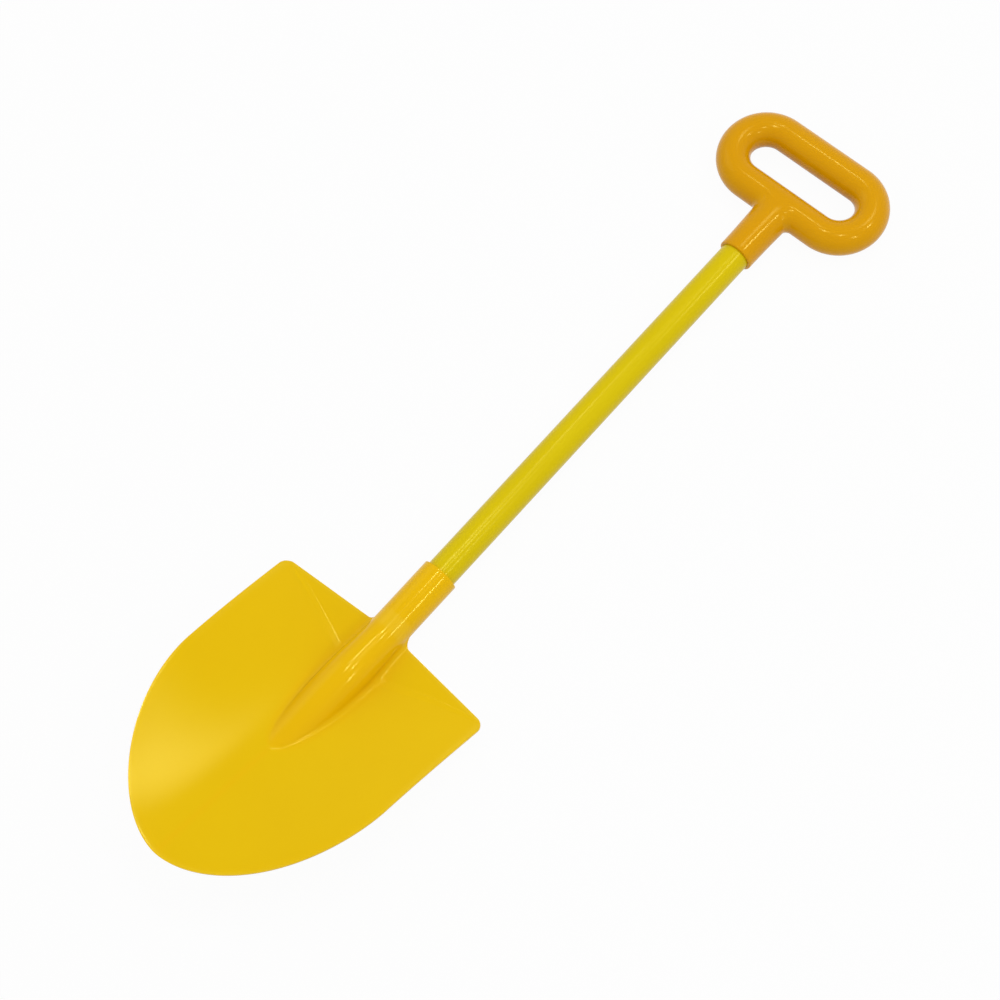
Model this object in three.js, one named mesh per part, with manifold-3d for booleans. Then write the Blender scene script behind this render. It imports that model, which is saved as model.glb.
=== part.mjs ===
// A child's garden spade: a moulded blade with its own socket, a plain tube and a hollow loop grip.
// Millimetres. The spade lies on its back: +Y runs up the shaft to the grip, +Z is the digging face.
import * as THREE from 'three';
import { mergeVertices } from 'three/addons/utils/BufferGeometryUtils.js';
import Module from 'manifold-3d';

const wasm = await Module();
wasm.setup();

// Tube and the way it sits in its two sockets
const tubeDiameter = 22;
const tubeWall = 1.6;
const tubeShownLength = 310;
const fitClearance = 0.3;
const socketWall = 1.9;
const bladeSocketDepth = 85;
const gripSocketDepth = 36;

// Blade outline, seen square to the shaft
const socketShownLength = 50.2;
const bladeLength = 205.3;
const shoulderWidth = 178.8;
const waistWidth = 174;
const waistBelowTop = 90;
const topEdgeSlope = 4.2;
const cornerRadius = 7;
const tipFullness = 1.8;
const gussetHeight = 9;
const gussetFlare = 2.1;

// Blade form: flat shoulders, a fold, then a lifted and dished face
const bladeWall = 2.4;
const shoulderDrop = 5;
const foldBelowTop = 33.3;
const foldRadius = 10;
const liftAngle = 16.5;
const dishSlopeAtTop = 0.106;
const dishSlopeGain = 0.214;
const dishCentreBend = 30;
const dishSpan = 215;

// Frog: the hump that carries the socket on into the blade, hollow behind
const frogRadius = 15;
const frogCrest = 17.5;
const frogRise = 47;
const frogFillet = 5.2;
const frogRibCount = 2;
const frogRibWall = 2;
const frogRibPitch = 20;
const stopWebWall = 2.4;

// Grip: a long loop on a short neck
const gripReach = 76;
const gripBarDiameter = 24.8;
const gripBendRadius = 24;
const gripStraight = 64;
const gripWall = 2.2;
const gripPortDiameter = 16;
const neckFlare = 5;
const neckFlareHeight = 12;

// Facets
const roundSides = 40;
const barSides = 24;
const loopSteps = 22;
const bladeColumns = 44;
const bladeRows = 40;
const tipPoints = 22;
const cornerSides = 8;

// Values that follow from the sizes above
const tubeRadius = tubeDiameter / 2;
const boreRadius = tubeRadius + fitClearance;
const socketRadius = boreRadius + socketWall;
const topEdgeY = -socketShownLength;
const tipY = topEdgeY - bladeLength;
const waistY = topEdgeY - waistBelowTop;
const foldY = topEdgeY - foldBelowTop;
const heelY = -bladeSocketDepth - stopWebWall;
const shoulderZ = -shoulderDrop;
const lift = Math.tan(THREE.MathUtils.degToRad(liftAngle));
const topSlope = Math.tan(THREE.MathUtils.degToRad(topEdgeSlope));
const gripMouthY = tubeShownLength;
const loopCentreY = gripMouthY + gripReach;
const barRadius = gripBarDiameter / 2;
const lowerBarY = loopCentreY - gripBendRadius;
const loopEndY = loopCentreY + gripBendRadius + barRadius;

// Solid and mesh conversions

function solidFrom(geometry) {
  const bare = geometry.clone();
  bare.deleteAttribute('normal');
  bare.deleteAttribute('uv');
  const merged = mergeVertices(bare);
  const vertProperties = new Float32Array(merged.attributes.position.array);
  const triVerts = new Uint32Array(merged.index.array);
  return new wasm.Manifold(new wasm.Mesh({ numProp: 3, vertProperties, triVerts }));
}

function meshFrom(name, solid, material) {
  const { vertProperties, triVerts } = solid.getMesh();
  const geometry = new THREE.BufferGeometry();
  geometry.setAttribute('position', new THREE.BufferAttribute(vertProperties, 3));
  geometry.setIndex(new THREE.BufferAttribute(triVerts, 1));
  geometry.computeVertexNormals();
  const mesh = new THREE.Mesh(geometry, material);
  mesh.name = name;
  return mesh;
}

// Shapes that several pieces share

// A round solid about the shaft's axis from [radius, y] points, closed on the axis at both ends.
function turned(points) {
  const profile = points.map(([radius, y]) => new THREE.Vector2(radius, y));
  return new THREE.LatheGeometry(profile, roundSides);
}

function rod(radius, lowY, highY) {
  return turned([[0, lowY], [radius, lowY], [radius, highY], [0, highY]]);
}

function block(low, high) {
  const size = new THREE.Vector3().subVectors(high, low);
  const centre = new THREE.Vector3().addVectors(low, high).multiplyScalar(0.5);
  return new THREE.BoxGeometry(size.x, size.y, size.z).translate(centre.x, centre.y, centre.z);
}

// A rounded valley between two faces: the higher of the two, eased over a width that gives the radius.
function filletedMax(a, b, ease) {
  return (a + b + Math.hypot(a - b, ease)) / 2;
}

// Blade surfaces, as heights over the plane of the shaft's axis

const foldEase = foldRadius * lift * lift / 2;

// Lifted and dished digging face. The dish is deepest near the middle of the blade's length.
function diggingFace(x, y) {
  const along = THREE.MathUtils.clamp((topEdgeY - y) / dishSpan, 0, 1);
  const dishSlope = dishSlopeAtTop + dishSlopeGain * Math.sin(Math.PI * along);
  const dish = dishSlope * (Math.hypot(x, dishCentreBend) - dishCentreBend);
  return shoulderZ + lift * (foldY - y) + dish;
}

// Front of the plate: flat shoulders that turn into the digging face at a rounded fold.
function plateFront(x, y) {
  return filletedMax(shoulderZ, diggingFace(x, y), foldEase);
}

// The frog grows smoothly out of the socket over its rise.
function frogSection(y) {
  const grown = THREE.MathUtils.smoothstep(topEdgeY - y, 0, frogRise);
  const radius = THREE.MathUtils.lerp(socketRadius, frogRadius, grown);
  const crest = THREE.MathUtils.lerp(socketRadius, frogCrest, grown);
  return { radius, centreZ: crest - radius };
}

// Front of the moulding: round frog, concave fillet, plate.
function bladeFront(x, y) {
  const plate = plateFront(x, y);
  const { radius, centreZ } = frogSection(y);
  const reach = radius + frogFillet;
  const rise = plate + frogFillet - centreZ;
  if (rise >= reach) return plate;
  const footX = Math.sqrt(reach * reach - rise * rise);
  const distance = Math.abs(x);
  if (distance >= footX) return plate;
  if (distance <= footX * radius / reach) return centreZ + Math.sqrt(radius * radius - x * x);
  return plate + frogFillet - Math.sqrt(frogFillet * frogFillet - (footX - distance) ** 2);
}

// Back of the moulding: the plate's back with the frog's hollow let into it.
function bladeBack(x, y) {
  const plate = plateFront(x, y) - bladeWall;
  const { radius, centreZ } = frogSection(y);
  const inner = radius - bladeWall;
  if (Math.abs(x) >= inner) return plate;
  return Math.max(plate, centreZ + Math.sqrt(inner * inner - x * x));
}

// Columns crowd towards the frog and rows towards the fold, where the face bends most.
const centreCrowding = 0.5;
const topCrowding = 0.6;
const trimMargin = 4;

function columnX(share) {
  const side = 2 * share - 1;
  const half = shoulderWidth / 2 + trimMargin;
  return half * (centreCrowding * side + (1 - centreCrowding) * side ** 3);
}

function rowY(share) {
  const eased = topCrowding * share + (1 - topCrowding) * share * share;
  return topEdgeY + trimMargin - (bladeLength + 2 * trimMargin) * eased;
}

// A solid between two height surfaces, gridded over the blade's rectangle.
function slabBetween(front, back) {
  const slab = new THREE.BoxGeometry(1, 1, 1, bladeColumns, bladeRows, 1);
  const points = slab.attributes.position;
  for (let i = 0; i < points.count; i += 1) {
    const x = columnX(points.getX(i) + 0.5);
    const y = rowY(0.5 - points.getY(i));
    const surface = points.getZ(i) > 0 ? front : back;
    points.setXYZ(i, x, y, surface(x, y));
  }
  return slab;
}

// Blade outline

function topEdgeAt(x) {
  return topEdgeY - topSlope * Math.abs(x);
}

// Adds a corner of the given radius to a path that comes from one point and leaves for another.
function roundCorner(path, from, corner, to, radius) {
  const back = new THREE.Vector2().subVectors(from, corner).normalize();
  const onward = new THREE.Vector2().subVectors(to, corner).normalize();
  const halfAngle = Math.acos(back.dot(onward)) / 2;
  const bisector = new THREE.Vector2().addVectors(back, onward).normalize();
  const centre = bisector.multiplyScalar(radius / Math.sin(halfAngle)).add(corner);
  const tangentLength = radius / Math.tan(halfAngle);
  const start = back.multiplyScalar(tangentLength).add(corner);
  const end = onward.multiplyScalar(tangentLength).add(corner);
  path.lineTo(start.x, start.y);
  path.absarc(centre.x, centre.y, radius, start.sub(centre).angle(), end.sub(centre).angle(), true);
}

// Straight shoulders and sides, then a tip that is a little more pointed than an ellipse.
function bladeOutline() {
  const halfTop = shoulderWidth / 2;
  const halfWaist = waistWidth / 2;
  const right = new THREE.Vector2(halfTop, topEdgeAt(halfTop));
  const left = new THREE.Vector2(-halfTop, right.y);
  const middle = new THREE.Vector2(0, topEdgeY);
  const waistRight = new THREE.Vector2(halfWaist, waistY);
  const waistLeft = new THREE.Vector2(-halfWaist, waistY);
  const outline = new THREE.Shape();
  outline.moveTo(middle.x, middle.y);
  roundCorner(outline, middle, right, waistRight, cornerRadius);
  for (let i = 0; i <= 2 * tipPoints; i += 1) {
    const turn = (i / (2 * tipPoints)) * Math.PI;
    const across = Math.sign(Math.cos(turn)) * Math.abs(Math.cos(turn)) ** (2 / tipFullness);
    const down = Math.sin(turn) ** (2 / tipFullness);
    outline.lineTo(halfWaist * across, waistY - (waistY - tipY) * down);
  }
  roundCorner(outline, waistLeft, left, middle, cornerRadius);
  outline.closePath();
  return outline;
}

// The blade

const cutMargin = 20;
const roomHeight = frogCrest + bladeLength;

function trimmedPlate() {
  const trim = new THREE.ExtrudeGeometry(bladeOutline(), {
    depth: 2 * roomHeight,
    bevelEnabled: false,
    curveSegments: cornerSides / 2,
  }).translate(0, 0, -roomHeight);
  return solidFrom(slabBetween(bladeFront, bladeBack)).intersect(solidFrom(trim));
}

// Back half of the socket below the top edge, closed by the web that stops the tube.
function socketHeel() {
  const behind = block(
    new THREE.Vector3(-2 * socketRadius, heelY - cutMargin, -2 * socketRadius),
    new THREE.Vector3(2 * socketRadius, topEdgeY, shoulderZ + bladeWall),
  );
  return solidFrom(rod(socketRadius, heelY, topEdgeY)).intersect(solidFrom(behind));
}

// The shoulders run a little way up the socket on each side, in the plate's own thickness.
function gussets() {
  const arcRadius = (gussetHeight ** 2 + gussetFlare ** 2) / (2 * gussetFlare);
  const arcPoints = 6;
  const profile = [[0, topEdgeY - gussetFlare]];
  profile.push([socketRadius + gussetFlare, topEdgeY - gussetFlare]);
  for (let i = 0; i <= arcPoints; i += 1) {
    const down = gussetHeight * (1 - i / arcPoints);
    const flare = arcRadius - Math.sqrt(arcRadius ** 2 - down ** 2);
    profile.push([socketRadius + flare, topEdgeY + gussetHeight - down]);
  }
  profile.push([0, topEdgeY + gussetHeight]);
  const reach = socketRadius + 2 * gussetFlare;
  const level = block(
    new THREE.Vector3(-reach, topEdgeY - cutMargin, shoulderZ - bladeWall),
    new THREE.Vector3(reach, topEdgeY + cutMargin, shoulderZ + bladeWall),
  );
  return solidFrom(turned(profile)).intersect(solidFrom(level));
}

// Cross ribs in the frog's hollow, flush with the back of the plate.
function frogRibs() {
  const inTheWall = (x, y) => (bladeFront(x, y) + bladeBack(x, y)) / 2;
  const plateBack = (x, y) => plateFront(x, y) - bladeWall;
  const filling = solidFrom(slabBetween(inTheWall, plateBack));
  const halfWidth = frogRadius - bladeWall / 2;
  const ribs = [];
  for (let i = 1; i <= frogRibCount; i += 1) {
    const y = heelY - i * frogRibPitch;
    const plate = block(
      new THREE.Vector3(-halfWidth, y - frogRibWall / 2, -roomHeight),
      new THREE.Vector3(halfWidth, y + frogRibWall / 2, roomHeight),
    );
    ribs.push(filling.intersect(solidFrom(plate)));
  }
  return ribs;
}

function bladeSolid() {
  const webRadius = socketRadius - bladeWall / 2;
  const stopWeb = solidFrom(rod(webRadius, heelY, -bladeSocketDepth + fitClearance));
  const socket = solidFrom(rod(socketRadius, topEdgeY - bladeWall / 2, 0));
  const bore = solidFrom(rod(boreRadius, -bladeSocketDepth, cutMargin));
  let solid = trimmedPlate().add(socketHeel()).add(gussets()).add(socket).add(stopWeb);
  for (const rib of frogRibs()) solid = solid.add(rib);
  return solid.subtract(bore);
}

// The tube

function tubeSolid() {
  const lowY = -bladeSocketDepth + fitClearance;
  const highY = gripMouthY + gripSocketDepth - fitClearance;
  const outside = solidFrom(rod(tubeRadius, lowY, highY));
  return outside.subtract(solidFrom(rod(tubeRadius - tubeWall, lowY - cutMargin, highY + cutMargin)));
}

// The grip

// One end of the loop: half of each bar and the bend that joins them, overlapping the other end.
class HalfLoop extends THREE.Curve {
  constructor(side, overlap) {
    super();
    this.side = side;
    this.straight = gripStraight / 2 + overlap;
    this.overlap = overlap;
    this.bend = Math.PI * gripBendRadius;
  }

  getPoint(share, target = new THREE.Vector3()) {
    const travelled = share * (2 * this.straight + this.bend);
    const intoBend = THREE.MathUtils.clamp(travelled - this.straight, 0, this.bend);
    const turn = intoBend / gripBendRadius - Math.PI / 2;
    const outward = Math.min(travelled, this.straight) - this.overlap;
    const homeward = Math.max(travelled - this.straight - this.bend, 0);
    const x = outward - homeward + gripBendRadius * Math.cos(turn);
    const y = loopCentreY + gripBendRadius * Math.sin(turn);
    return target.set(this.side * x, y, 0);
  }
}

function loopSolid(radius) {
  const section = new THREE.Shape().absarc(0, 0, radius, 0, 2 * Math.PI);
  const overlap = gripWall;
  const ends = [-1, 1].map((side) => solidFrom(new THREE.ExtrudeGeometry(section, {
    steps: loopSteps,
    curveSegments: barSides / 2,
    extrudePath: new HalfLoop(side, overlap),
  })));
  return ends[0].add(ends[1]);
}

// The neck widens towards the bar in the plane of the loop and stays as thick as the bar.
function neckSolid() {
  const flareStart = lowerBarY - neckFlareHeight - Math.sqrt(barRadius ** 2 - (barRadius / 2) ** 2);
  const flareRings = 6;
  const profile = [[0, gripMouthY], [socketRadius, gripMouthY]];
  for (let i = 0; i <= flareRings; i += 1) {
    profile.push([socketRadius, THREE.MathUtils.lerp(flareStart, lowerBarY, i / flareRings)]);
  }
  profile.push([0, lowerBarY]);
  const neck = turned(profile);
  const points = neck.attributes.position;
  for (let i = 0; i < points.count; i += 1) {
    const climbed = THREE.MathUtils.clamp((points.getY(i) - flareStart) / (lowerBarY - flareStart), 0, 1);
    const widened = 1 + (neckFlare / socketRadius) * climbed * climbed;
    const flattened = THREE.MathUtils.lerp(1, (barRadius - fitClearance) / socketRadius, climbed);
    points.setX(i, points.getX(i) * widened);
    points.setZ(i, points.getZ(i) * flattened);
  }
  return solidFrom(neck);
}

function gripSolid() {
  const bore = solidFrom(rod(boreRadius, gripMouthY - cutMargin, gripMouthY + gripSocketDepth));
  const port = solidFrom(rod(gripPortDiameter / 2, gripMouthY, lowerBarY));
  return loopSolid(barRadius)
    .add(neckSolid())
    .subtract(loopSolid(barRadius - gripWall))
    .subtract(bore)
    .subtract(port);
}

// Materials and assembly

const bladePlastic = new THREE.MeshStandardMaterial({ color: 0xe4bb00, roughness: 0.32, metalness: 0 });
const tubePlastic = new THREE.MeshStandardMaterial({ color: 0xd9c200, roughness: 0.4, metalness: 0 });
const gripPlastic = new THREE.MeshStandardMaterial({ color: 0xe0a800, roughness: 0.28, metalness: 0 });

const spade = new THREE.Group();
spade.add(meshFrom('blade', bladeSolid(), bladePlastic));
spade.add(meshFrom('shaft_tube', tubeSolid(), tubePlastic));
spade.add(meshFrom('hand_grip', gripSolid(), gripPlastic));

// The origin is under the middle of the spade as it lies on its socket.
spade.position.set(0, -(tipY + loopEndY) / 2, Math.max(socketRadius, barRadius));

export default spade;
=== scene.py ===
"""The looks of a child's spade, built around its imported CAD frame.

Lengths are in metres. The spade lies on its back: +Y runs up the shaft to the grip and +Z is the
digging face. Each piece is shaped about the shaft's axis, with y = 0 at the mouth of the blade's
socket, and is then moved to its place in the frame.
"""

import logging
import math
from collections.abc import Callable, Iterable, Mapping
from dataclasses import dataclass, field
from enum import Enum

import bmesh
import bpy
from bmesh.types import BMEdge, BMesh, BMVert
from mathutils import Matrix, Vector


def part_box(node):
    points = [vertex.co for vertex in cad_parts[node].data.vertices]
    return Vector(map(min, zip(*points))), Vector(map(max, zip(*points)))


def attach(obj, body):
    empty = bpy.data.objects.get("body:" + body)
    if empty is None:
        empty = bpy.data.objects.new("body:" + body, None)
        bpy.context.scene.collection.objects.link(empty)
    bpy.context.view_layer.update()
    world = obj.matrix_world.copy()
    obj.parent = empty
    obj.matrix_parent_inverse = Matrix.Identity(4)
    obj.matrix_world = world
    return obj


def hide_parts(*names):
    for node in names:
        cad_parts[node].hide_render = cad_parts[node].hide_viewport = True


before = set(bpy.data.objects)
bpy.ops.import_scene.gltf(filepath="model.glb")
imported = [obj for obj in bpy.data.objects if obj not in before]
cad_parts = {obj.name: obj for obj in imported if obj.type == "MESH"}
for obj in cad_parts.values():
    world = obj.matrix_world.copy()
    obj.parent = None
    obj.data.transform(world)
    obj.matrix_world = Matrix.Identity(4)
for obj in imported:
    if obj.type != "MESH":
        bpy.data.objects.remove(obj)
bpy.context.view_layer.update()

MM = 0.001
HAIR = 0.01 * MM
SHARP_ANGLE = math.radians(50)
TUBE_BURIED = 84.7 * MM
log = logging.getLogger("spade")


def lerp(a: float, b: float, share: float) -> float:
    """A value part of the way from a to b."""
    return a + (b - a) * share


def smoothstep(low: float, high: float, value: float) -> float:
    """0 below low, 1 above high and an even S between them."""
    share = min(max((value - low) / (high - low), 0.0), 1.0)
    return share * share * (3 - 2 * share)


def round_join(a: float, b: float, ease: float) -> float:
    """The higher of two heights, with the valley between them rounded."""
    return (a + b + math.hypot(a - b, ease)) / 2


class Section(Enum):
    """The pieces of the spade, named as the CAD frame names them."""

    BLADE = "blade"
    TUBE = "shaft_tube"
    GRIP = "hand_grip"


class Slot(Enum):
    """The record's material slots."""

    BLADE = "blade_plastic"
    TUBE = "tube_plastic"
    GRIP = "grip_plastic"


@dataclass(frozen=True)
class ShaftAxis:
    """Where the shaft's axis and the blade socket's mouth are in the frame."""

    mouth_y: float
    height: float

    @classmethod
    def from_tube(cls, buried: float) -> "ShaftAxis":
        """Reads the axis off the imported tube.

        Args:
            buried: length of tube below the mouth of the blade's socket.

        Returns:
            The axis.
        """
        low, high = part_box(Section.TUBE.value)
        return cls(mouth_y=low.y + buried, height=(low.z + high.z) / 2)

    def settle(self, bm: BMesh) -> None:
        """Moves a mesh from the shaft's own axes to its place in the frame."""
        bmesh.ops.translate(bm, verts=bm.verts, vec=(0.0, self.mouth_y, self.height))


class Value:
    """A shader value. Python's operators on it add Math nodes."""

    def __init__(self, tree: "ShaderTree", socket: bpy.types.NodeSocket) -> None:
        """Wraps an output socket of a tree."""
        self.tree = tree
        self.socket = socket

    def _math(self, operation: str, first: object, second: object) -> "Value":
        """Adds one Math node."""
        return self.tree.add(
            "ShaderNodeMath", {"operation": operation}, {0: first, 1: second}
        )["Value"]

    def __add__(self, other: object) -> "Value":
        """Sum."""
        return self._math("ADD", self, other)

    def __radd__(self, other: object) -> "Value":
        """Sum with a number on the left."""
        return self._math("ADD", other, self)

    def __sub__(self, other: object) -> "Value":
        """Difference."""
        return self._math("SUBTRACT", self, other)

    def __rsub__(self, other: object) -> "Value":
        """Difference from a number on the left."""
        return self._math("SUBTRACT", other, self)

    def __mul__(self, other: object) -> "Value":
        """Product."""
        return self._math("MULTIPLY", self, other)

    def __pow__(self, other: object) -> "Value":
        """Power."""
        return self._math("POWER", self, other)

    def at_most(self, other: object) -> "Value":
        """The lesser of two values."""
        return self._math("MINIMUM", self, other)

    def at_least(self, other: object) -> "Value":
        """The greater of two values."""
        return self._math("MAXIMUM", self, other)


class ShaderTree:
    """A material's or a world's nodes."""

    def __init__(self, tree: bpy.types.NodeTree) -> None:
        """Starts from an empty tree."""
        self.tree = tree
        tree.nodes.clear()

    def add(
        self,
        kind: str,
        settings: Mapping[str, object] | None = None,
        sockets: Mapping[str | int, object] | None = None,
    ) -> dict[str, Value]:
        """Adds a node.

        Args:
            kind: the node's type.
            settings: properties that are set first. A ramp's stops are (place, colour) pairs.
            sockets: numbers, colours or values for the inputs, by name or by number.

        Returns:
            The node's outputs by name.
        """
        node = self.tree.nodes.new(kind)
        for name, value in (settings or {}).items():
            if name == "stops":
                self._set_stops(node, value)
            else:
                setattr(node, name, value)
        for key, value in (sockets or {}).items():
            target = node.inputs[key]
            if isinstance(value, Value):
                self.tree.links.new(value.socket, target)
            else:
                target.default_value = value
        return {out.name: Value(self, out) for out in node.outputs if out.enabled}

    @staticmethod
    def _set_stops(node: bpy.types.Node, stops: Iterable[tuple[float, tuple]]) -> None:
        """Sets a colour ramp's stops."""
        elements = node.color_ramp.elements
        for index, (place, colour) in enumerate(stops):
            element = elements[index] if index < 2 else elements.new(place)
            element.position = place
            element.color = colour

    def mix(self, factor: object, first: object, second: object) -> Value:
        """Mixes two colours.

        Args:
            factor: share of the second colour.
            first: colour at 0.
            second: colour at 1.

        Returns:
            The mixed colour.
        """
        settings = {"data_type": "RGBA", "blend_type": "MIX"}
        return self.add("ShaderNodeMix", settings, {0: factor, 6: first, 7: second})["Result"]


Colour = tuple[float, float, float, float]
WHITE: Colour = (1.0, 1.0, 1.0, 1.0)


@dataclass(frozen=True)
class MouldedPlastic:
    """Glossy moulded polyethylene, dyed through."""

    name: str
    slot: Slot
    colour: Colour
    deep_colour: Colour
    worn_colour: Colour
    # Painted shade: a deeper orange laid over the frog and socket, standing in for the shade on
    # them.
    frog_shade_colour: Colour | None = None
    roughness: float = 0.14
    roughness_spread: float = 0.06
    cloud_scale: float = 16.0
    speck_scale: float = 1400.0
    peel_scale: float = 240.0
    peel_height: float = 0.000004
    ripple_scale: float = 45.0
    ripple_height: float = 0.000025
    scuff_scale: float = 520.0
    scuff_stretch: float = 0.05
    scuff_start: float = 0.64
    scuff_gain: float = 6.0
    scuff_roughness: float = 0.03
    cloud_tint: float = 0.8
    speck_tint: float = 0.35
    tint_start: float = 0.1
    edge_wear: float = 0.35
    least_wear: float = 0.4
    most_wear: float = 0.6
    wear_roughness: float = 0.25
    ior: float = 1.5
    specular: float = 0.3
    specular_tint: Colour = (1.0, 0.93, 0.25, 1.0)

    def material(self) -> bpy.types.Material:
        """Builds the finish.

        Returns:
            The material.
        """
        made = bpy.data.materials.new(self.name)
        made.use_nodes = True
        made.diffuse_color = self.colour
        tree = ShaderTree(made.node_tree)
        place = tree.add("ShaderNodeTexCoord")["Object"]
        cloud = self._noise(tree, place, self.cloud_scale, 3.0)
        speck = self._noise(tree, place, self.speck_scale, 1.0)
        scuffs = self._scuffs(tree, place)
        wear = tree.add("ShaderNodeAttribute", {"attribute_name": "edge"})["Fac"]
        wear = wear * self.edge_wear * (self.least_wear + scuffs)
        tint = cloud * self.cloud_tint + speck * self.speck_tint - self.tint_start
        colour = tree.mix(tint.at_least(0.0).at_most(1.0), self.deep_colour, self.colour)
        # Painted shade: the frog and socket are tinted a deeper orange, standing in for the shade on
        # them.
        if self.frog_shade_colour:
            frog_shade = tree.add("ShaderNodeAttribute", {"attribute_name": "frog_shade"})["Fac"]
            colour = tree.mix(frog_shade, colour, self.frog_shade_colour)
        colour = tree.mix(wear.at_most(self.most_wear), colour, self.worn_colour)
        rough = self.roughness + (cloud - 0.5) * self.roughness_spread
        rough = rough + scuffs * self.scuff_roughness + wear * self.wear_roughness
        bump = self._peel(tree, place)
        shader = tree.add(
            "ShaderNodeBsdfPrincipled",
            {},
            {
                "Base Color": colour,
                "Roughness": rough,
                "Normal": bump,
                "IOR": self.ior,
                "Specular IOR Level": self.specular,
                "Specular Tint": self.specular_tint,
            },
        )["BSDF"]
        tree.add("ShaderNodeOutputMaterial", {}, {"Surface": shader})
        return made

    @staticmethod
    def _noise(tree: ShaderTree, place: Value, scale: float, detail: float) -> Value:
        """Adds even noise.

        Args:
            tree: the nodes to add to.
            place: coordinates.
            scale: cells in a metre.
            detail: octaves of finer noise.

        Returns:
            The noise, about 0 to 1.
        """
        sockets = {"Vector": place, "Scale": scale, "Detail": detail, "Roughness": 0.5}
        return tree.add("ShaderNodeTexNoise", {}, sockets)["Fac"]

    def _scuffs(self, tree: ShaderTree, place: Value) -> Value:
        """Fine handling marks along the spade, 0 over most of it."""
        stretched = tree.add(
            "ShaderNodeMapping", {}, {"Vector": place, "Scale": (1.0, self.scuff_stretch, 1.0)}
        )["Vector"]
        lines = self._noise(tree, stretched, self.scuff_scale, 2.0)
        return ((lines - self.scuff_start) * self.scuff_gain).at_least(0.0).at_most(1.0)

    def _peel(self, tree: ShaderTree, place: Value) -> Value:
        """The faint ripple of a moulded skin, as a bumped normal."""
        fine = self._noise(tree, place, self.peel_scale, 2.0) * self.peel_height
        broad = self._noise(tree, place, self.ripple_scale, 1.0) * self.ripple_height
        sockets = {"Height": fine + broad, "Strength": 1.0, "Distance": 1.0}
        return tree.add("ShaderNodeBump", {}, sockets)["Normal"]


def finish_piece(
    name: str, bm: BMesh, axis: ShaftAxis, plastic: MouldedPlastic, stands_for: Section
) -> bpy.types.Object:
    """Turns a shaped mesh into a dressed piece that rides on the frame.

    Args:
        name: the piece's name.
        bm: its closed mesh, about the shaft's axis. It is freed.
        axis: where that axis is.
        plastic: its finish.
        stands_for: the CAD node that it replaces.

    Returns:
        The piece.
    """
    axis.settle(bm)
    for face in bm.faces:
        face.smooth = True
    mesh = bpy.data.meshes.new(name)
    bm.to_mesh(mesh)
    bm.free()
    mesh.set_sharp_from_angle(angle=SHARP_ANGLE)
    mesh.materials.append(plastic.material())
    piece = bpy.data.objects.new(name, mesh)
    bpy.context.scene.collection.objects.link(piece)
    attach(piece, "root")
    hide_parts(stands_for.value)
    log.info("%s: %d faces", name, len(mesh.polygons))
    return piece


def sharp_edges(bm: BMesh, least: float) -> list[BMEdge]:
    """Edges where two faces meet at more than an angle.

    Args:
        bm: the mesh.
        least: that angle in degrees.

    Returns:
        The edges.
    """
    limit = math.radians(least)
    return [e for e in bm.edges if len(e.link_faces) == 2 and e.calc_face_angle() > limit]


def round_edges(bm: BMesh, edges: list[BMEdge], radius: float, segments: int = 3) -> None:
    """Rounds edges.

    Args:
        bm: the mesh.
        edges: the edges.
        radius: how far the rounding reaches from each.
        segments: faces across the rounding.
    """
    bmesh.ops.bevel(
        bm,
        geom=edges,
        offset=radius,
        offset_type="OFFSET",
        segments=segments,
        profile=0.5,
        affect="EDGES",
        material=-1,
        clamp_overlap=True,
    )


def extrude_ring(
    bm: BMesh, edges: list[BMEdge], place: Callable[[BMVert], Vector]
) -> list[BMEdge]:
    """Extrudes a chain of edges and puts each new vertex where it belongs.

    Args:
        bm: the mesh.
        edges: the chain.
        place: gives a new vertex its position from where it starts.

    Returns:
        The new chain.
    """
    made = bmesh.ops.extrude_edge_only(bm, edges=edges)["geom"]
    for vert in [v for v in made if isinstance(v, BMVert)]:
        vert.co = place(vert)
    ends = {v for v in made if isinstance(v, BMVert)}
    return [e for e in made if isinstance(e, BMEdge) and set(e.verts) <= ends]


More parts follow.
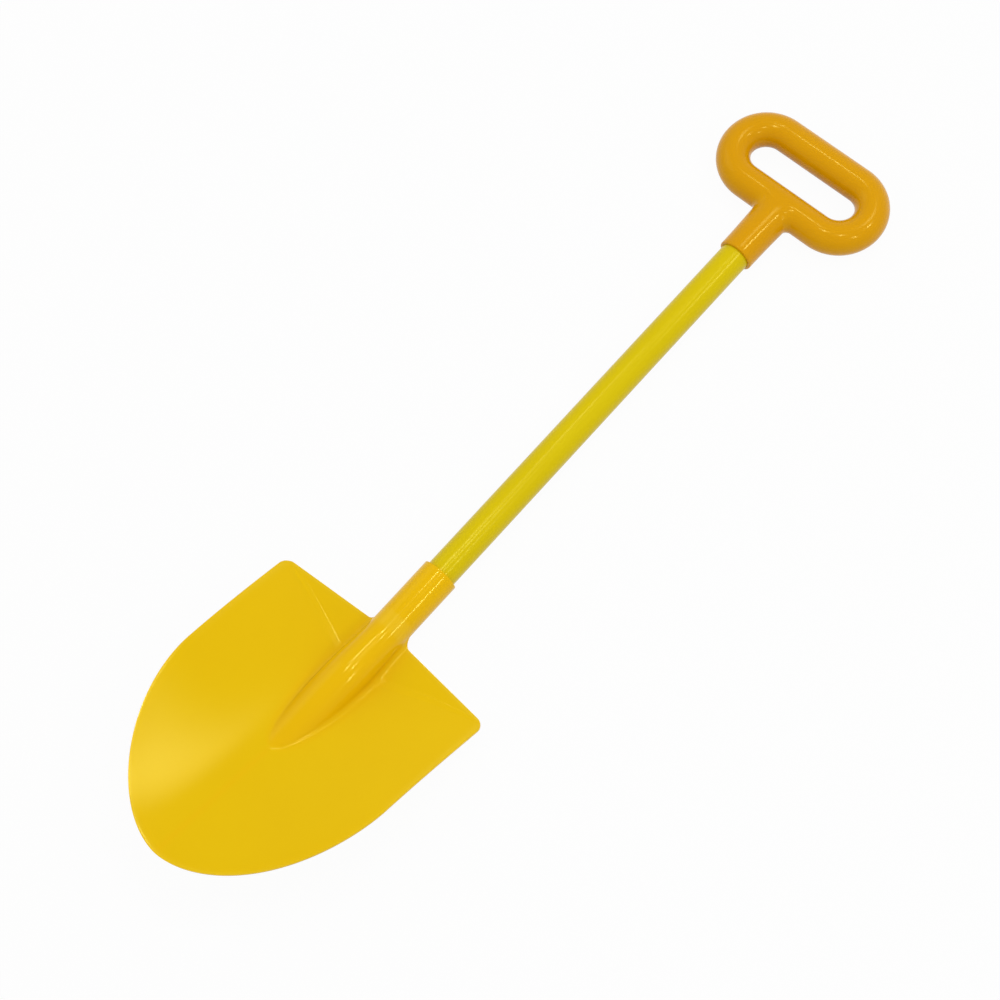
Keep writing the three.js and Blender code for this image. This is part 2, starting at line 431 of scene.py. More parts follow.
@dataclass
class Blade:
    """The moulded blade with its socket, its frog and the frog's ribs."""

    axis: ShaftAxis
    plastic: MouldedPlastic
    socket_radius: float = 13.2 * MM
    socket_wall: float = 1.9 * MM
    socket_shown: float = 50.2 * MM
    tube_depth: float = 85.0 * MM
    web_wall: float = 2.4 * MM
    web_inset: float = 0.3 * MM
    length: float = 205.3 * MM
    shoulder_width: float = 178.8 * MM
    waist_width: float = 174.0 * MM
    waist_below_top: float = 90.0 * MM
    top_slope: float = math.tan(math.radians(4.2))
    corner_radius: float = 7.0 * MM
    tip_fullness: float = 1.8
    gusset_height: float = 9.0 * MM
    wall: float = 2.4 * MM
    shoulder_drop: float = 5.0 * MM
    fold_below_top: float = 33.3 * MM
    fold_radius: float = 5.0 * MM
    fold_width: float = 3.4 * MM
    fold_fade: float = 4.0 * MM
    fold_margin: float = 1.3
    lift: float = math.tan(math.radians(16.5))
    dish_slope_at_top: float = 0.106
    dish_slope_at_fold: float = 0.128
    dish_slope_gain: float = 0.214
    dish_bend: float = 30.0 * MM
    dish_span: float = 215.0 * MM
    frog_radius: float = 15.0 * MM
    frog_crest: float = 17.5 * MM
    frog_rise: float = 47.0 * MM
    fillet: float = 5.2 * MM
    rib_count: int = 2
    rib_wall: float = 2.0 * MM
    rib_pitch: float = 20.0 * MM
    rim_radius: float = 0.9 * MM
    rim_angle: float = 55.0
    web_rounding: float = 0.3 * MM
    wall_fade: float = 10.0 * MM
    level_from: float = 0.6
    level_full: float = 0.9
    wear_core: float = 0.5 * MM
    wear_reach: float = 3.5 * MM
    edge_pull: int = 8
    least_foot: float = 9.0 * MM
    full_foot: float = 15.0 * MM
    tip_corner_turn: float = math.radians(52)
    collar_columns: int = 20
    frog_columns: int = 28
    plate_columns: int = 30
    shoulder_rows: int = 26
    fold_rows: int = 24
    corner_rows: int = 6
    side_rows: int = 36
    tip_rows: int = 34
    collar_steps: int = 20
    wrap_steps: int = 36
    fold_rounds: int = 16
    foot_rounds: int = 5
    corner_rounds: int = 40
    corner_guess: float = 0.3
    corner_room: float = 0.4
    row_rounds: int = 4
    edge: list[tuple[float, float]] = field(default_factory=list)

    def __post_init__(self) -> None:
        """Works out the stations and the right-hand edge."""
        self.top_y = -self.socket_shown
        self.tip_y = self.top_y - self.length
        self.waist_y = self.top_y - self.waist_below_top
        self.fold_y = self.top_y - self.fold_below_top
        self.heel_y = -self.tube_depth - self.web_wall
        self.shoulder_z = -self.shoulder_drop
        self.fold_ease = self.fold_radius * (self.lift / 2) ** 2 / 2
        self.edge = self._edge_points()
        x, y = self.waist_width / 4, self.waist_y
        self.on_face = Vector((x, y, self.plate(x, y)))

    def dish(self, x: float, y: float) -> float:
        """How far the dished face has curled up at a distance from the middle."""
        along = min(max((self.top_y - y) / self.dish_span, 0.0), 1.0)
        slope = self.dish_slope_at_top + self.dish_slope_gain * math.sin(math.pi * along)
        return slope * (math.hypot(x, self.dish_bend) - self.dish_bend)

    def half_fold(self, x: float) -> float:
        """Half the width of the fold's flat, which narrows towards the blade's corner."""
        curl = self.dish_slope_at_fold * (math.hypot(x, self.dish_bend) - self.dish_bend)
        room = max(self.fold_below_top - self.top_slope * abs(x) - curl / self.lift, 0.0)
        return self.fold_width * room / (room + self.fold_fade)

    def fold_line(self, x: float) -> float:
        """Station of the middle of the fold."""
        y = self.fold_y
        for _ in range(self.fold_rounds):
            y = self.fold_y + self.dish(x, y) / self.lift
        return y

    def plate(self, x: float, y: float) -> float:
        """Front of the sheet: flat shoulders, the fold's narrow flat and the dished face."""
        face = self.shoulder_z + self.lift * (self.fold_y - y) + self.dish(x, y)
        flat = (self.shoulder_z + face + self.lift * self.half_fold(x)) / 2
        upper = round_join(self.shoulder_z, flat, self.fold_ease)
        return round_join(upper, face, self.fold_ease)

    def frog(self, y: float) -> tuple[float, float]:
        """The frog's round back.

        Args:
            y: station along the shaft.

        Returns:
            Its radius and the height of its centre.
        """
        grown = smoothstep(0.0, self.frog_rise, self.top_y - y)
        radius = lerp(self.socket_radius, self.frog_radius, grown)
        return radius, lerp(self.socket_radius, self.frog_crest, grown) - radius

    def front(self, x: float, y: float) -> float:
        """Height of the moulding's front.

        Args:
            x: distance from the middle.
            y: station along the shaft.

        Returns:
            The height of the frog, of its fillet or of the sheet, whichever is there.
        """
        sheet = self.plate(x, y)
        radius, centre = self.frog(y)
        reach = radius + self.fillet
        rise = sheet + self.fillet - centre
        if rise >= reach:
            return sheet
        foot = math.sqrt(reach**2 - max(rise, 0.0) ** 2)
        distance = abs(x)
        if distance >= foot:
            return sheet
        if distance <= foot * radius / reach:
            return centre + math.sqrt(max(radius**2 - x**2, 0.0))
        return sheet + self.fillet - math.sqrt(max(self.fillet**2 - (foot - distance) ** 2, 0.0))

    def foot(self, y: float) -> tuple[float, float]:
        """Where the frog's fillet runs out on the sheet.

        Args:
            y: station along the shaft.

        Returns:
            The distance from the middle, and how far the fillet's centre is above the frog's.
        """
        radius, centre = self.frog(y)
        reach = radius + self.fillet
        foot, rise = reach, 0.0
        for _ in range(self.foot_rounds):
            rise = self.plate(foot, y) + self.fillet - centre
            foot = math.sqrt(max(reach**2 - max(rise, 0.0) ** 2, 0.0))
        return foot, rise

    def across_frog(self, y: float, share: float) -> tuple[float, float]:
        """A point on the frog's section.

        Args:
            y: station along the shaft.
            share: 0 at the crest and 1 where the fillet runs out.

        Returns:
            Its distance from the middle and its height.
        """
        radius, centre = self.frog(y)
        foot, rise = self.foot(y)
        turn = math.acos(min(max(rise / (radius + self.fillet), 0.0), 1.0))
        flank = max(-rise, 0.0)
        travelled = share * ((radius + self.fillet) * turn + flank)
        past_crest = travelled - radius * turn
        if past_crest <= 0:
            x = radius * math.sin(travelled / radius)
        elif past_crest < flank:
            return radius, centre - past_crest
        else:
            x = foot - self.fillet * math.sin(turn - (past_crest - flank) / self.fillet)
        even = max(foot, self.least_foot) * share
        x = lerp(even, x, smoothstep(self.least_foot, self.full_foot, foot))
        return x, self.front(x, y)

    def _edge_points(self) -> list[tuple[float, float]]:
        """Works out the blade's right-hand edge.

        Returns:
            The end of each row: round the corner, down the side and into the tip.
        """
        half_top, half_waist = self.shoulder_width / 2, self.waist_width / 2
        corner = Vector((half_top, self.top_y - self.top_slope * half_top))
        back = (Vector((0.0, self.top_y)) - corner).normalized()
        onward = (Vector((half_waist, self.waist_y)) - corner).normalized()
        half_angle = back.angle(onward) / 2
        radius = self.corner_radius
        centre = corner + (back + onward).normalized() * (radius / math.sin(half_angle))
        start = corner + back * (radius / math.tan(half_angle)) - centre
        below = corner + onward * (radius / math.tan(half_angle))
        first = math.atan2(start.y, start.x)
        last = math.atan2(below.y - centre.y, below.x - centre.x)

        def turn_at(y: float) -> float:
            """The corner's angle at a station."""
            return math.asin(min(max((y - centre.y) / radius, 0.0), 1.0))

        turn = lerp(first, last, self.corner_guess)
        for _ in range(self.corner_rounds):
            turn = (turn + turn_at(self.fold_line(centre.x + radius * math.cos(turn)))) / 2
        x, y = centre.x + radius * math.cos(turn), centre.y + radius * math.sin(turn)
        half = self.fold_margin * self.half_fold(x)
        upper, lower = min(turn_at(y + half), lerp(first, turn, self.corner_room)), turn_at(y - half)
        turns = [lerp(first, upper, i / self.shoulder_rows) for i in range(self.shoulder_rows)]
        turns += [lerp(upper, lower, i / self.fold_rows) for i in range(self.fold_rows)]
        turns += [lerp(lower, last, i / self.corner_rows) for i in range(self.corner_rows)]
        points = [
            (centre.x + radius * math.cos(t), centre.y + radius * math.sin(t)) for t in turns
        ]
        for i in range(self.side_rows):
            share = i / self.side_rows
            points.append((lerp(below.x, half_waist, share), lerp(below.y, self.waist_y, share)))
        power = 2 / self.tip_fullness
        for i in range(self.tip_rows + 1):
            t = self.tip_corner_turn * i / self.tip_rows
            down = math.sin(t) ** power
            points.append((half_waist * math.cos(t) ** power, lerp(self.waist_y, self.tip_y, down)))
        return points

    def tip_edge(self, x: float) -> float:
        """Station of the tip's edge at a distance from the middle."""
        share = 1 - (abs(x) / (self.waist_width / 2)) ** self.tip_fullness
        return lerp(self.waist_y, self.tip_y, share ** (1 / self.tip_fullness))

    def row_station(self, row: int, x: float, climb: float) -> float:
        """Where a row of the sheet's grid runs.

        Args:
            row: 0 at the top edge.
            x: distance from the middle.
            climb: how far the top edge climbs the socket there.

        Returns:
            The row's station.
        """
        fold, half = self.fold_line(x), self.fold_margin * self.half_fold(x)
        if row <= self.shoulder_rows:
            top = self.top_y - self.top_slope * x + climb
            return lerp(top, fold + half, row / self.shoulder_rows)
        first = self.shoulder_rows + self.fold_rows
        if row <= first:
            return fold + half * (1 - 2 * (row - self.shoulder_rows) / self.fold_rows)
        tip_x, tip_y = self.edge[-1]
        edge_x, edge_y = self.edge[row]
        bow = fold - half - self.edge[first][1]
        tip_bow = self.tip_edge(tip_x * min(x / edge_x, 1.0)) - tip_y
        return edge_y + lerp(bow, tip_bow, (row - first) / (len(self.edge) - 1 - first))

    def sheet_point(self, column: int, row: int) -> Vector:
        """Where a vertex of the sheet's grid goes.

        Args:
            column: 0 in the middle, counted to each side.
            row: 0 at the top edge.

        Returns:
            The point on the moulding's front.
        """
        edge_x, edge_y = self.edge[row]
        step = abs(column)
        climb = 0.0
        if step < self.frog_columns:
            beyond = max(step - self.collar_columns, 0) / (self.frog_columns - self.collar_columns)
            climb = self.gusset_height * (1 - beyond) ** 2
        shift = edge_y - self.row_station(row, edge_x, 0.0)
        x, z, y = 0.0, 0.0, self.row_station(row, 0.0, climb)
        for _ in range(self.row_rounds):
            if step <= self.frog_columns:
                x, z = self.across_frog(y, step / self.frog_columns)
            else:
                share = (step - self.frog_columns) / self.plate_columns
                x = lerp(self.across_frog(y, 1.0)[0], edge_x, share)
            y = self.row_station(row, x, climb) + shift * (x / edge_x) ** self.edge_pull
        if step <= self.frog_columns:
            x, z = self.across_frog(y, step / self.frog_columns)
        else:
            z = self.front(x, y)
        return Vector((math.copysign(x, column), y, z))

    def _sheet(self, bm: BMesh) -> list[BMVert]:
        """Lays out the sheet's front.

        Args:
            bm: the mesh to add to.

        Returns:
            The top row's vertices over the collar, from left to right.
        """
        columns = self.frog_columns + self.plate_columns
        rows = len(self.edge) - 1
        made = bmesh.ops.create_grid(bm, x_segments=2 * columns, y_segments=rows, size=1.0)
        top: list[tuple[int, BMVert]] = []
        for vert in made["verts"]:
            column = round(vert.co.x * columns)
            row = round((1 - vert.co.y) / 2 * rows)
            vert.co = self.sheet_point(column, row)
            if row == 0 and abs(column) <= self.collar_columns:
                top.append((column, vert))
        return [vert for _, vert in sorted(top, key=lambda pair: pair[0])]

    def _collar(self, bm: BMesh, top: list[BMVert]) -> None:
        """Carries the frog on as the socket and closes the socket round the back.

        Args:
            bm: the sheet's mesh.
            top: the top row's vertices over the collar.
        """
        chain = [e for a, b in zip(top, top[1:]) for e in a.link_edges if e.other_vert(a) is b]
        start_y = top[0].co.y
        edge_line = [top[-1]]
        for i in range(1, self.collar_steps + 1):
            y = lerp(start_y, 0.0, i / self.collar_steps)
            chain = extrude_ring(bm, chain, lambda v, y=y: Vector((v.co.x, y, v.co.z)))
            ends = {v for e in chain for v in e.verts}
            edge_line.append(max(ends, key=lambda v: v.co.x - v.co.z))
        heel_line = [top[-1]]
        for i in range(1, self.collar_steps + 1):
            y = lerp(start_y, self.heel_y, i / self.collar_steps)
            vert = bmesh.ops.extrude_vert_indiv(bm, verts=[heel_line[-1]])["verts"][0]
            vert.co.y = y
            heel_line.append(vert)
        line = edge_line[::-1] + heel_line[1:]
        edges = [e for a, b in zip(line, line[1:]) for e in a.link_edges if e.other_vert(a) is b]
        start = math.atan2(top[-1].co.z, top[-1].co.x)
        bmesh.ops.spin(
            bm,
            geom=line + edges,
            cent=(0.0, 0.0, 0.0),
            axis=(0.0, 1.0, 0.0),
            angle=math.pi + 2 * start,
            steps=self.wrap_steps,
            use_duplicate=False,
        )
        bmesh.ops.remove_doubles(bm, verts=bm.verts, dist=2 * HAIR)

    def _thicken(self, bm: BMesh) -> None:
        """Gives the sheet its wall, thinner round the tube, and rounds its rim."""
        bmesh.ops.recalc_face_normals(bm, faces=bm.faces)
        bm.normal_update()
        middle = min(bm.faces, key=lambda f: (f.calc_center_median() - self.on_face).length)
        if middle.normal.z < 0:
            bmesh.ops.reverse_faces(bm, faces=bm.faces)
            bm.normal_update()
        number = bm.verts.layers.int.new("number")
        for index, vert in enumerate(bm.verts):
            vert[number] = index
        skin = {vert[number]: (vert.co.copy(), vert.normal.z) for vert in bm.verts}
        made = bmesh.ops.solidify(bm, geom=bm.faces[:], thickness=self.wall)["geom"]
        for vert in [v for v in made if isinstance(v, BMVert)]:
            outer, facing = skin[vert[number]]
            round_tube = smoothstep(self.top_y - self.wall_fade, self.top_y, outer.y)
            if outer.z < self.shoulder_z - self.wall:
                round_tube = 1.0
            depth = lerp(1.0, self.socket_wall / self.wall, round_tube)
            square = outer.lerp(vert.co, depth)
            level = outer - Vector((0.0, 0.0, self.wall))
            flatness = smoothstep(self.level_from, self.level_full, facing)
            vert.co = square.lerp(level, flatness * (1 - round_tube))
        bm.verts.layers.int.remove(number)
        rim = [e for e in sharp_edges(bm, self.rim_angle) if not self._is_hidden(e)]
        round_edges(bm, rim, self.rim_radius)

    def _is_hidden(self, edge: BMEdge) -> bool:
        """Whether an edge is the heel's side, which lies inside the sheet."""
        middle = (edge.verts[0].co + edge.verts[1].co) / 2
        low = self.heel_y + self.wall
        high = self.top_y + self.gusset_height - 10 * HAIR
        inside = abs(middle.x) < self.socket_radius + 5 * HAIR
        return inside and low < middle.y < high and abs(middle.z) < self.shoulder_drop

    def _web(self, bm: BMesh) -> None:
        """Closes the socket's heel with the web that stops the tube."""
        middle = self.heel_y + self.web_wall / 2 + self.web_inset
        turned = Matrix.Translation((0.0, middle, 0.0)) @ Matrix.Rotation(math.pi / 2, 4, "X")
        made = bmesh.ops.create_cone(
            bm,
            cap_ends=True,
            segments=64,
            radius1=self.socket_radius - self.socket_wall / 2,
            radius2=self.socket_radius - self.socket_wall / 2,
            depth=self.web_wall,
            matrix=turned,
        )
        around = {e for v in made["verts"] for e in v.link_edges}
        edges = [e for e in sharp_edges(bm, self.rim_angle) if e in around]
        round_edges(bm, edges, self.web_rounding)

    def _ribs(self, bm: BMesh) -> None:
        """Adds the cross ribs of the frog's hollow."""
        for i in range(1, self.rib_count + 1):
            y = self.heel_y - i * self.rib_pitch
            radius, centre = self.frog(y)
            low = self.plate(0.0, y) - self.wall
            turned = Matrix.Translation((0.0, y + self.rib_wall / 2, centre)) @ Matrix.Rotation(
                math.pi / 2, 4, "X"
            )
            disc = bmesh.ops.create_circle(
                bm, cap_ends=True, segments=64, radius=radius - self.wall / 2, matrix=turned
            )["verts"]
            faces = list({f for v in disc for f in v.link_faces})
            edges = list({e for f in faces for e in f.edges})
            cut = bmesh.ops.bisect_plane(
                bm,
                geom=disc + edges + faces,
                plane_co=(0.0, y, low),
                plane_no=(0.0, 0.0, 1.0),
                clear_inner=True,
            )
            kept = {f for g in cut["geom_cut"] if isinstance(g, BMVert) for f in g.link_faces}
            grown = bmesh.ops.extrude_face_region(bm, geom=list(kept))["geom"]
            moved = [v for v in grown if isinstance(v, BMVert)]
            bmesh.ops.translate(bm, verts=moved, vec=(0.0, -self.rib_wall, 0.0))
            around = {f for v in moved for f in v.link_faces} | kept
            bmesh.ops.recalc_face_normals(bm, faces=[f for f in around if f.is_valid])

    def _mark_edges(self, bm: BMesh) -> None:
        """Marks the rim, where a blade scuffs, and the frog and socket for a painted shade of deeper
        orange, in attributes.
        """
        edge = bm.verts.layers.float.new("edge")
        frog_shade = bm.verts.layers.float.new("frog_shade")
        for vert in bm.verts:
            x, y = abs(vert.co.x), vert.co.y
            reach = self.foot(min(y, self.top_y))[0]
            # Painted shade: the frog and socket, out to the fillet's foot, are marked for a deeper
            # orange tint.
            vert[frog_shade] = 1 - smoothstep(reach - self.fillet, reach + self.fillet, x)
            if y > self.top_y + self.gusset_height:
                continue
            gap = y - self.tip_edge(min(x, self.waist_width / 2 - HAIR))
            side = self.waist_width / 2 - x if y > self.waist_y else gap
            top = self.top_y - self.top_slope * x - y
            nearest = min(gap, side, max(top, 0.0))
            vert[edge] = 1 - smoothstep(self.wear_core, self.wear_reach, nearest)

    def build(self) -> bpy.types.Object:
        """Shapes and dresses the blade.

        Returns:
            The piece.
        """
        bm = bmesh.new()
        top = self._sheet(bm)
        self._collar(bm, top)
        self._thicken(bm)
        self._mark_edges(bm)
        self._web(bm)
        self._ribs(bm)
        return finish_piece("digging_blade", bm, self.axis, self.plastic, Section.BLADE)


@dataclass
class ShaftTube:
    """The plain extruded tube."""

    axis: ShaftAxis
    plastic: MouldedPlastic
    radius: float = 11.0 * MM
    wall: float = 1.6 * MM
    low_y: float = -TUBE_BURIED
    high_y: float = 345.7 * MM
    end_rounding: float = 0.4 * MM
    end_angle: float = 60.0
    sides: int = 96
    lengths: int = 24

    def build(self) -> bpy.types.Object:
        """Shapes and dresses the tube.

        Returns:
            The piece.
        """
        bm = bmesh.new()
        inner = self.radius - self.wall
        corners = [(self.radius, self.low_y), (self.radius, self.high_y)]
        corners += [(inner, self.high_y), (inner, self.low_y)]
        verts = [bm.verts.new((r, y, 0.0)) for r, y in corners]
        edges = [bm.edges.new((verts[i - 1], verts[i])) for i in range(4)]
        bmesh.ops.subdivide_edges(bm, edges=[edges[1], edges[3]], cuts=self.lengths)
        bmesh.ops.spin(
            bm,
            geom=bm.verts[:] + bm.edges[:],
            cent=(0.0, 0.0, 0.0),
            axis=(0.0, 1.0, 0.0),
            angle=2 * math.pi,
            steps=self.sides,
            use_merge=True,
            use_duplicate=False,
        )
        bmesh.ops.remove_doubles(bm, verts=bm.verts, dist=HAIR)
        bmesh.ops.recalc_face_normals(bm, faces=bm.faces)
        round_edges(bm, sharp_edges(bm, self.end_angle), self.end_rounding)
        return finish_piece("shaft", bm, self.axis, self.plastic, Section.TUBE)


@dataclass
class Ring:
    """A ring of edges that is drawn out step by step."""

    edges: list[BMEdge]
    roots: dict[BMVert, BMVert]

    def extrude(self, bm: BMesh, place: Callable[[BMVert], Vector]) -> "Ring":
        """Draws the ring out by one step.

        Args:
            bm: the mesh.
            place: a new vertex's position, from the first ring's vertex that it comes from.

        Returns:
            The new ring.
        """
        made = bmesh.ops.extrude_edge_only(bm, edges=self.edges)["geom"]
        fresh = {v for v in made if isinstance(v, BMVert)}
        roots = {}
        for vert in fresh:
            near = (e.other_vert(vert) for e in vert.link_edges)
            roots[vert] = next(self.roots[v] for v in near if v in self.roots)
        for vert, root in roots.items():
            vert.co = place(root)
        return Ring([e for e in made if isinstance(e, BMEdge) and set(e.verts) <= fresh], roots)


@dataclass
class HandGrip:
    """The hollow loop and its neck."""

    axis: ShaftAxis
    plastic: MouldedPlastic
    mouth_y: float = 310.0 * MM
    reach: float = 76.0 * MM
    bar_radius: float = 12.4 * MM
    bend_radius: float = 24.0 * MM
    straight: float = 64.0 * MM
    neck_radius: float = 13.2 * MM
    neck_top_radius: float = 14.1 * MM
    neck_top_depth: float = 12.7 * MM
    bore_radius: float = 11.1 * MM
    bore_depth: float = 36.0 * MM
    mouth_rounding: float = 1.0 * MM
    bore_rounding: float = 0.15 * MM
    blend_pull: float = 1.1
    bar_sides: int = 48
    bar_steps: int = 30
    hole_steps: int = 16
    bend_steps: int = 36
    blend_rings: int = 12
    neck_rings: int = 14

    def _loop(self, bm: BMesh) -> None:
        """Sweeps the bar's section round the loop."""
        centre_y = self.mouth_y + self.reach
        half = self.straight / 2
        start = Matrix.Translation((-half, centre_y - self.bend_radius, 0.0)) @ Matrix.Rotation(
            math.pi / 2, 4, "Y"
        )
        ring = bmesh.ops.create_circle(
            bm, segments=self.bar_sides, radius=self.bar_radius, matrix=start
        )["verts"]
        chain = list({e for v in ring for e in v.link_edges})
        for side in (1, -1):
            for _ in range(self.bar_steps):
                step = Vector((side * self.straight / self.bar_steps, 0.0, 0.0))
                chain = extrude_ring(bm, chain, lambda v, step=step: v.co + step)
            verts = list({v for e in chain for v in e.verts})
            swept = bmesh.ops.spin(
                bm,
                geom=verts + chain,
                cent=(side * half, centre_y, 0.0),
                axis=(0.0, 0.0, 1.0),
                angle=math.pi,
                steps=self.bend_steps,
                use_duplicate=False,
            )["geom_last"]
            chain = [e for e in swept if isinstance(e, BMEdge)]
        bmesh.ops.remove_doubles(bm, verts=bm.verts, dist=2 * HAIR)
        bmesh.ops.recalc_face_normals(bm, faces=bm.faces)

    def _open_hole(self, bm: BMesh) -> list[BMEdge]:
        """Opens the underside of the lower bar for the neck.

        Args:
            bm: the loop's mesh.

        Returns:
            The edges round the hole.
        """
        bar_y = self.mouth_y + self.reach - self.bend_radius
        half_hole = self.hole_steps / 2 * self.straight / self.bar_steps
        gone = []
        for face in bm.faces:
            middle = face.calc_center_median()
            if abs(middle.x) < half_hole and bar_y - 2 * self.bar_radius < middle.y < bar_y:
                gone.append(face)
        bmesh.ops.delete(bm, geom=gone, context="FACES")
        return [e for e in bm.edges if e.is_boundary]

    def _neck(self, bm: BMesh, rim: list[BMEdge]) -> None:
        """Draws the neck out of the loop, with its bore.

        Args:
            bm: the loop's mesh, open for the neck.
            rim: the edges round the opening.
        """
        bar_y = self.mouth_y + self.reach - self.bend_radius
        half_hole = self.hole_steps / 2 * self.straight / self.bar_steps
        ring_y = bar_y - self.bar_radius - (half_hole - self.neck_top_radius)
        paths = {}
        for vert in {v for e in rim for v in e.verts}:
            top = vert.co.copy()
            turn = math.atan2(top.z / self.bar_radius, top.x / half_hole)
            outward = Vector((math.cos(turn), 0.0, math.sin(turn)))
            low = Vector((outward.x * self.neck_top_radius, ring_y, outward.z * self.neck_top_depth))
            normal = Vector((0.0, top.y - bar_y, top.z)).normalized()
            lean = Vector((top.x / half_hole, 1.0, 0.0))
            lean = (lean - normal * lean.dot(normal)).normalized()
            paths[vert] = (low, top, lean, outward)
        ring = Ring(rim, {v: v for v in paths})
        for i in range(1, self.blend_rings + 1):
            ring = ring.extrude(bm, lambda v, i=i: self._blend(paths[v], 1 - i / self.blend_rings))
        stations = []
        for i in range(1, self.neck_rings + 1):
            share = i / self.neck_rings
            eased = math.sin(share * math.pi / 2)
            wide = lerp(self.neck_top_radius, self.neck_radius, eased)
            deep = lerp(self.neck_top_depth, self.neck_radius, eased)
            stations.append(Vector((wide, lerp(ring_y, self.mouth_y, share), deep)))
        bore = self.bore_radius
        stations.append(Vector((bore, self.mouth_y, bore)))
        stations.append(Vector((bore, self.mouth_y + self.bore_depth, bore)))
        rings = []
        for size in stations:
            ring = ring.extrude(
                bm, lambda v, s=size: Vector((paths[v][3].x * s.x, s.y, paths[v][3].z * s.z))
            )
            rings.append(ring)
        bmesh.ops.contextual_create(bm, geom=ring.edges)
        bmesh.ops.recalc_face_normals(bm, faces=bm.faces)
        round_edges(bm, rings[-3].edges, self.mouth_rounding)
        round_edges(bm, [e for e in rings[-2].edges if e.is_valid], self.bore_rounding)

    def _blend(self, path: tuple[Vector, Vector, Vector, Vector], share: float) -> Vector:
        """A point on the smooth curve from the neck to the bar.

        Args:
            path: the curve's two ends, its direction at the bar and the way out from the neck.
            share: 0 at the neck and 1 at the bar.

        Returns:
            The point.
        """
        low, top, lean, _ = path
        pull = self.blend_pull * (top - low).length
        s2, s3 = share**2, share**3
        up = Vector((0.0, pull, 0.0))
        return (
            low * (2 * s3 - 3 * s2 + 1)
            + up * (s3 - 2 * s2 + share)
            + top * (3 * s2 - 2 * s3)
            + lean * pull * (s3 - s2)
        )

    def build(self) -> bpy.types.Object:
        """Shapes and dresses the grip.

        Returns:
            The piece.
        """
        bm = bmesh.new()
        self._loop(bm)
        rim = self._open_hole(bm)
        self._neck(bm, rim)
        return finish_piece("loop_grip", bm, self.axis, self.plastic, Section.GRIP)


@dataclass(frozen=True)
class Lamp:
    """A soft rectangular lamp."""

    name: str
    place: tuple[float, float, float]
    aim: tuple[float, float, float]
    width: float
    height: float
    power: float

    def hang(self) -> None:
        """Adds the lamp to the scene."""
        data = bpy.data.lights.new(self.name, "AREA")
        data.shape = "RECTANGLE"
        data.size, data.size_y = self.width, self.height
        data.energy = self.power
        lamp = bpy.data.objects.new(self.name, data)
        back = (Vector(self.place) - Vector(self.aim)).normalized()
        across = Vector((0.0, 1.0, 0.0)).cross(back).normalized()
        turn = Matrix((across, back.cross(across), back)).transposed().to_4x4()
        lamp.matrix_world = Matrix.Translation(self.place) @ turn
        bpy.context.scene.collection.objects.link(lamp)


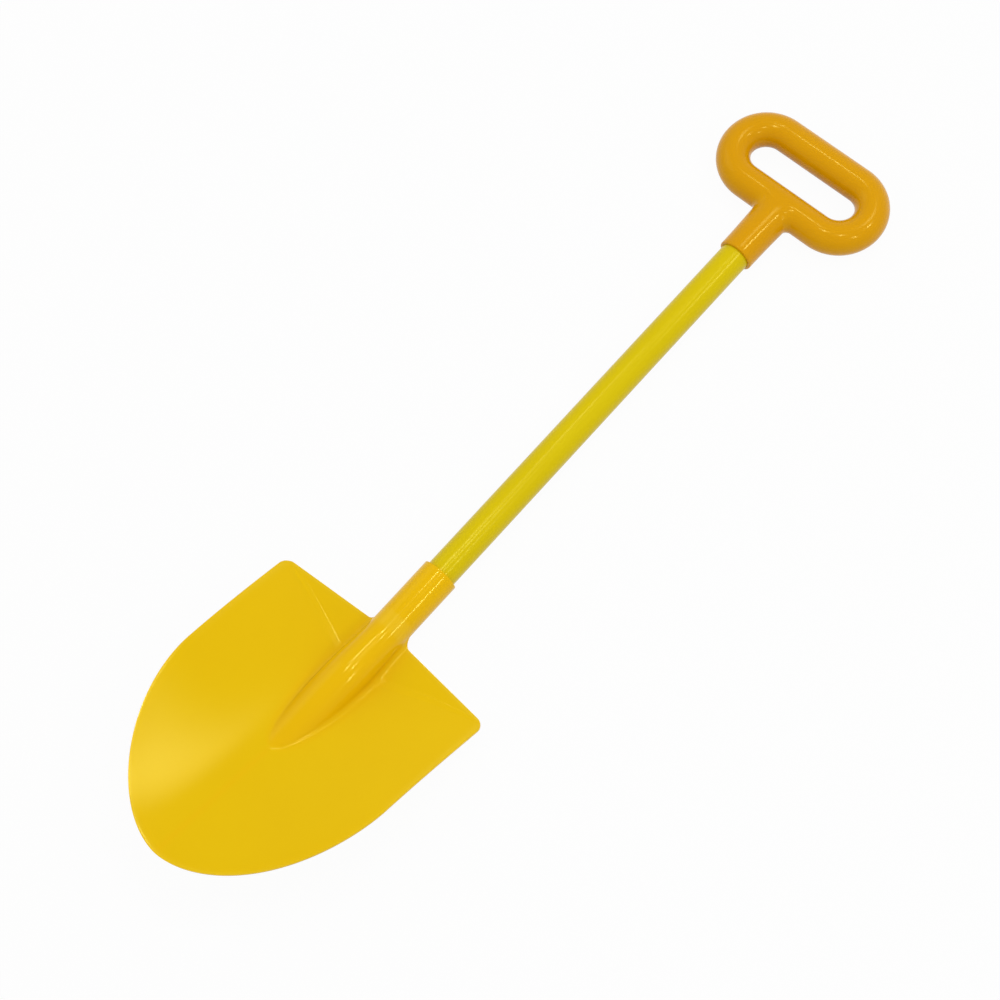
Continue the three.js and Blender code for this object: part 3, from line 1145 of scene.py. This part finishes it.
@dataclass
class Studio:
    """Floor, light and camera."""

    lamps: tuple[Lamp, ...] = (
        Lamp("spot", (0.28, 0.19, 1.1), (0.0, -0.1, 0.0), 0.05, 0.05, 0.6),
        Lamp("overhead", (-0.105, 0.19, 1.3), (0.0, 0.0, 0.0), 0.07, 0.07, 1.0),
        Lamp("back_left", (-0.70, 0.90, 2.72), (0.0, -0.1, 0.0), 0.2, 0.2, 2.8),
        Lamp("window", (1.0, 0.139, 1.12), (0.0, -0.1, 0.0), 0.08, 0.18, 1.6),
        Lamp("neck_glint", (0.651, 0.804, 1.129), (0.0, 0.25, 0.0), 0.09, 0.16, 1.4),
        Lamp("left_fill", (-1.5, -0.2, 1.3), (0.0, -0.1, 0.0), 1.0, 1.0, 2.0),
    )
    camera_place: Vector = field(default_factory=lambda: Vector((0.356975, -0.317531, 1.203518)))
    camera_right: Vector = field(default_factory=lambda: Vector((0.7484518, 0.6603536, -0.0612617)))
    camera_down: Vector = field(default_factory=lambda: Vector((0.5998886, -0.7135036, -0.3620032)))
    lens: float = 68.4
    sensor: float = 36.0
    nearest: float = 0.01
    farthest: float = 100.0
    floor_size: float = 12.0
    floor_tone: float = 0.65
    floor_white: float = 0.96
    sky_strength: float = 0.73
    glow_way: Vector = field(default_factory=lambda: Vector((0.035, 0.475, 0.88)))
    glow_spread: float = math.radians(10)
    glow_strength: float = 6.5

    def _camera(self) -> None:
        """Sets the camera where the photograph was taken from."""
        data = bpy.data.cameras.new("camera")
        data.lens, data.sensor_width = self.lens, self.sensor
        data.clip_start, data.clip_end = self.nearest, self.farthest
        camera = bpy.data.objects.new("camera", data)
        right, up = self.camera_right.normalized(), -self.camera_down.normalized()
        back = right.cross(up)
        turn = Matrix((right, up, back)).transposed().to_4x4()
        camera.matrix_world = Matrix.Translation(self.camera_place) @ turn
        bpy.context.scene.collection.objects.link(camera)
        bpy.context.scene.camera = camera

    def _floor(self) -> None:
        """Lays a plain pale floor that shows as white and keeps the shadow."""
        bm = bmesh.new()
        bmesh.ops.create_grid(bm, x_segments=1, y_segments=1, size=self.floor_size / 2)
        mesh = bpy.data.meshes.new("floor")
        bm.to_mesh(mesh)
        bm.free()
        floor = bpy.data.objects.new("floor", mesh)
        bpy.context.scene.collection.objects.link(floor)
        material = bpy.data.materials.new("floor_paper")
        material.use_nodes = True
        tree = ShaderTree(material.node_tree)
        path = tree.add("ShaderNodeLightPath")
        seen = path["Is Camera Ray"].at_least(path["Is Glossy Ray"])
        seen = seen.at_least(path["Is Transmission Ray"])
        tone = (self.floor_tone, self.floor_tone, self.floor_tone, 1.0)
        paper = tree.add("ShaderNodeBsdfDiffuse", {}, {"Color": tone})["BSDF"]
        glow = tree.add("ShaderNodeEmission", {}, {"Color": WHITE, "Strength": 1.0})["Emission"]
        shown = tree.add(
            "ShaderNodeMixShader", {}, {0: seen * self.floor_white, 1: paper, 2: glow}
        )["Shader"]
        tree.add("ShaderNodeOutputMaterial", {}, {"Surface": shown})
        mesh.materials.append(material)

    def _sky(self) -> None:
        """Gives even light with one soft brighter patch, and white where the camera sees it."""
        world = bpy.data.worlds.new("studio")
        world.use_nodes = True
        bpy.context.scene.world = world
        tree = ShaderTree(world.node_tree)
        path = tree.add("ShaderNodeLightPath")
        place = tree.add("ShaderNodeTexCoord")["Generated"]
        way = tree.add("ShaderNodeSeparateXYZ", {}, {"Vector": place})
        x, y, z = self.glow_way.normalized()
        rim = math.cos(self.glow_spread)
        near = (way["X"] * x + way["Y"] * y + way["Z"] * z - rim).at_least(0.0) * (1 / (1 - rim))
        light = self.sky_strength + near**2 * self.glow_strength
        strength = path["Is Camera Ray"].at_least(light * (1 - path["Is Camera Ray"]))
        sky = tree.add("ShaderNodeBackground", {}, {"Color": WHITE, "Strength": strength})
        tree.add("ShaderNodeOutputWorld", {}, {"Surface": sky["Background"]})

    def build(self) -> None:
        """Sets up the whole studio."""
        bpy.context.scene.view_settings.view_transform = "Standard"
        self._camera()
        self._floor()
        self._sky()
        for lamp in self.lamps:
            lamp.hang()
        log.info("studio set")


BLADE_YELLOW = MouldedPlastic(
    name="blade_yellow",
    slot=Slot.BLADE,
    colour=(0.79, 0.51, 0.001, 1.0),
    deep_colour=(0.76, 0.47, 0.001, 1.0),
    worn_colour=(0.86, 0.62, 0.06, 1.0),
    # Painted shade: a deeper orange for the frog and socket, standing in for the shade on them.
    frog_shade_colour=(0.80, 0.465, 0.001, 1.0),
    roughness=0.12,
    roughness_spread=0.03,
)
TUBE_LEMON = MouldedPlastic(
    name="tube_lemon",
    slot=Slot.TUBE,
    colour=(0.68, 0.525, 0.001, 1.0),
    deep_colour=(0.65, 0.49, 0.001, 1.0),
    worn_colour=(0.80, 0.66, 0.06, 1.0),
    roughness=0.2,
    peel_height=0.000001,
    ripple_height=0.00001,
)
GRIP_AMBER = MouldedPlastic(
    name="grip_amber",
    slot=Slot.GRIP,
    colour=(0.69, 0.335, 0.001, 1.0),
    deep_colour=(0.66, 0.295, 0.001, 1.0),
    worn_colour=(0.84, 0.52, 0.05, 1.0),
    roughness=0.16,
    roughness_spread=0.03,
)


def main() -> None:
    """Builds the spade piece by piece, and then the studio."""
    logging.basicConfig(level=logging.INFO, format="%(name)s: %(message)s")
    axis = ShaftAxis.from_tube(TUBE_BURIED)
    for part in (
        Blade(axis, BLADE_YELLOW),
        ShaftTube(axis, TUBE_LEMON),
        HandGrip(axis, GRIP_AMBER),
    ):
        piece = part.build()
        log.info("built %s", piece.name)
    Studio().build()


if __name__ == "__main__":
    main()
